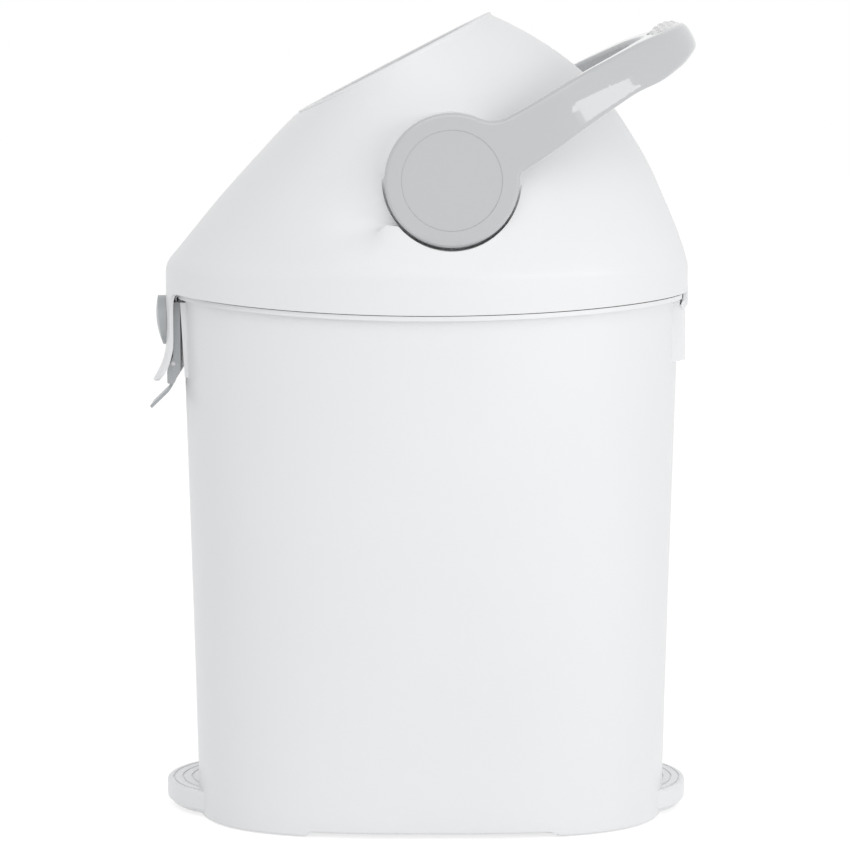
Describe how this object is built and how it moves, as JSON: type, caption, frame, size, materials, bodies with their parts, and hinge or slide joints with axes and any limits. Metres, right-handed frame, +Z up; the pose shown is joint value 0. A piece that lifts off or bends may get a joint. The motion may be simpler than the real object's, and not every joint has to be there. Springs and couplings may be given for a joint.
{
  "type": "nappy bin",
  "caption": "White oval nappy bin with a sloped domed head, a tilted round inlet, a grey flip handle, a front latch button and a treadle base",
  "frame": {"origin": "on the floor, at the middle of the base plate's flat underside, under the middle of the oval bucket", "axes": "+X to the side, along the rotor's axis; +Y to the back, towards the hinge; +Z up"},
  "size_m": [0.274, 0.413, 0.599],
  "materials": {
    "body_white": "satin",
    "handle_grey": "satin",
    "cool_grey": "matte",
    "bearing_plastic": "satin",
    "dark_rubber": "matte",
    "seal_rubber": "matte",
    "soft_grip": "matte",
    "steel": "satin",
    "weight_steel": "satin"
  },
  "bodies": {
    "base": {"bucket": "body_white", "base_plate": "body_white", "foot_pads": "dark_rubber", "base_screws": "steel", "bag_ring": "cool_grey", "hinge_pin": "steel", "latch_bracket": "cool_grey", "latch_screws": "steel", "latch_pin": "steel"},
    "head": {"head_shell": "body_white", "inlet_collar": "body_white", "inlet_seal": "seal_rubber", "head_liner": "body_white", "outlet_seal": "seal_rubber", "rim_gasket": "seal_rubber", "liner_screws": "steel", "rotor_bush_left": "bearing_plastic", "rotor_bush_right": "bearing_plastic"},
    "rotor": {"rotor_shell_upper": "body_white", "rotor_shell_lower": "body_white", "rotor_tube": "cool_grey", "handle": "handle_grey", "hub_cap_left": "handle_grey", "hub_cap_right": "handle_grey", "hub_screws": "steel", "grip_pad": "soft_grip"},
    "piston": {"piston": "cool_grey", "piston_seal": "seal_rubber", "piston_weight": "weight_steel"},
    "catch": {"latch_lever": "cool_grey"},
    "button": {"latch_button": "cool_grey"}
  },
  "joints": [
    {"name": "lid_hinge", "type": "hinge", "parent": "base", "child": "head", "pos_m": [0, 0.1879, 0.383], "axis": [-1, 0, 0], "range_deg": [0, 95]},
    {"name": "handle_flip", "type": "hinge", "parent": "head", "child": "rotor", "pos_m": [0, 0.014, 0.48], "axis": [1, 0, 0], "range_deg": [0, 150]},
    {"name": "piston_slide", "type": "slide", "parent": "rotor", "child": "piston", "axis": [0, -0.4602, 0.8878], "range_m": [0, 0.097]},
    {"name": "latch_swing", "type": "hinge", "parent": "base", "child": "catch", "pos_m": [0, -0.1934, 0.338], "axis": [-1, 0, 0], "range_deg": [0, 3.3], "stiffness_Nm_per_rad": 0.35},
    {"name": "button_press", "type": "slide", "parent": "head", "child": "button", "axis": [0, 1, 0], "range_m": [0, 0.0018]}
  ],
  "couplings": [
    {"joint": "button_press", "follows": "latch_swing", "m_per_rad": 0.031}
  ]
}
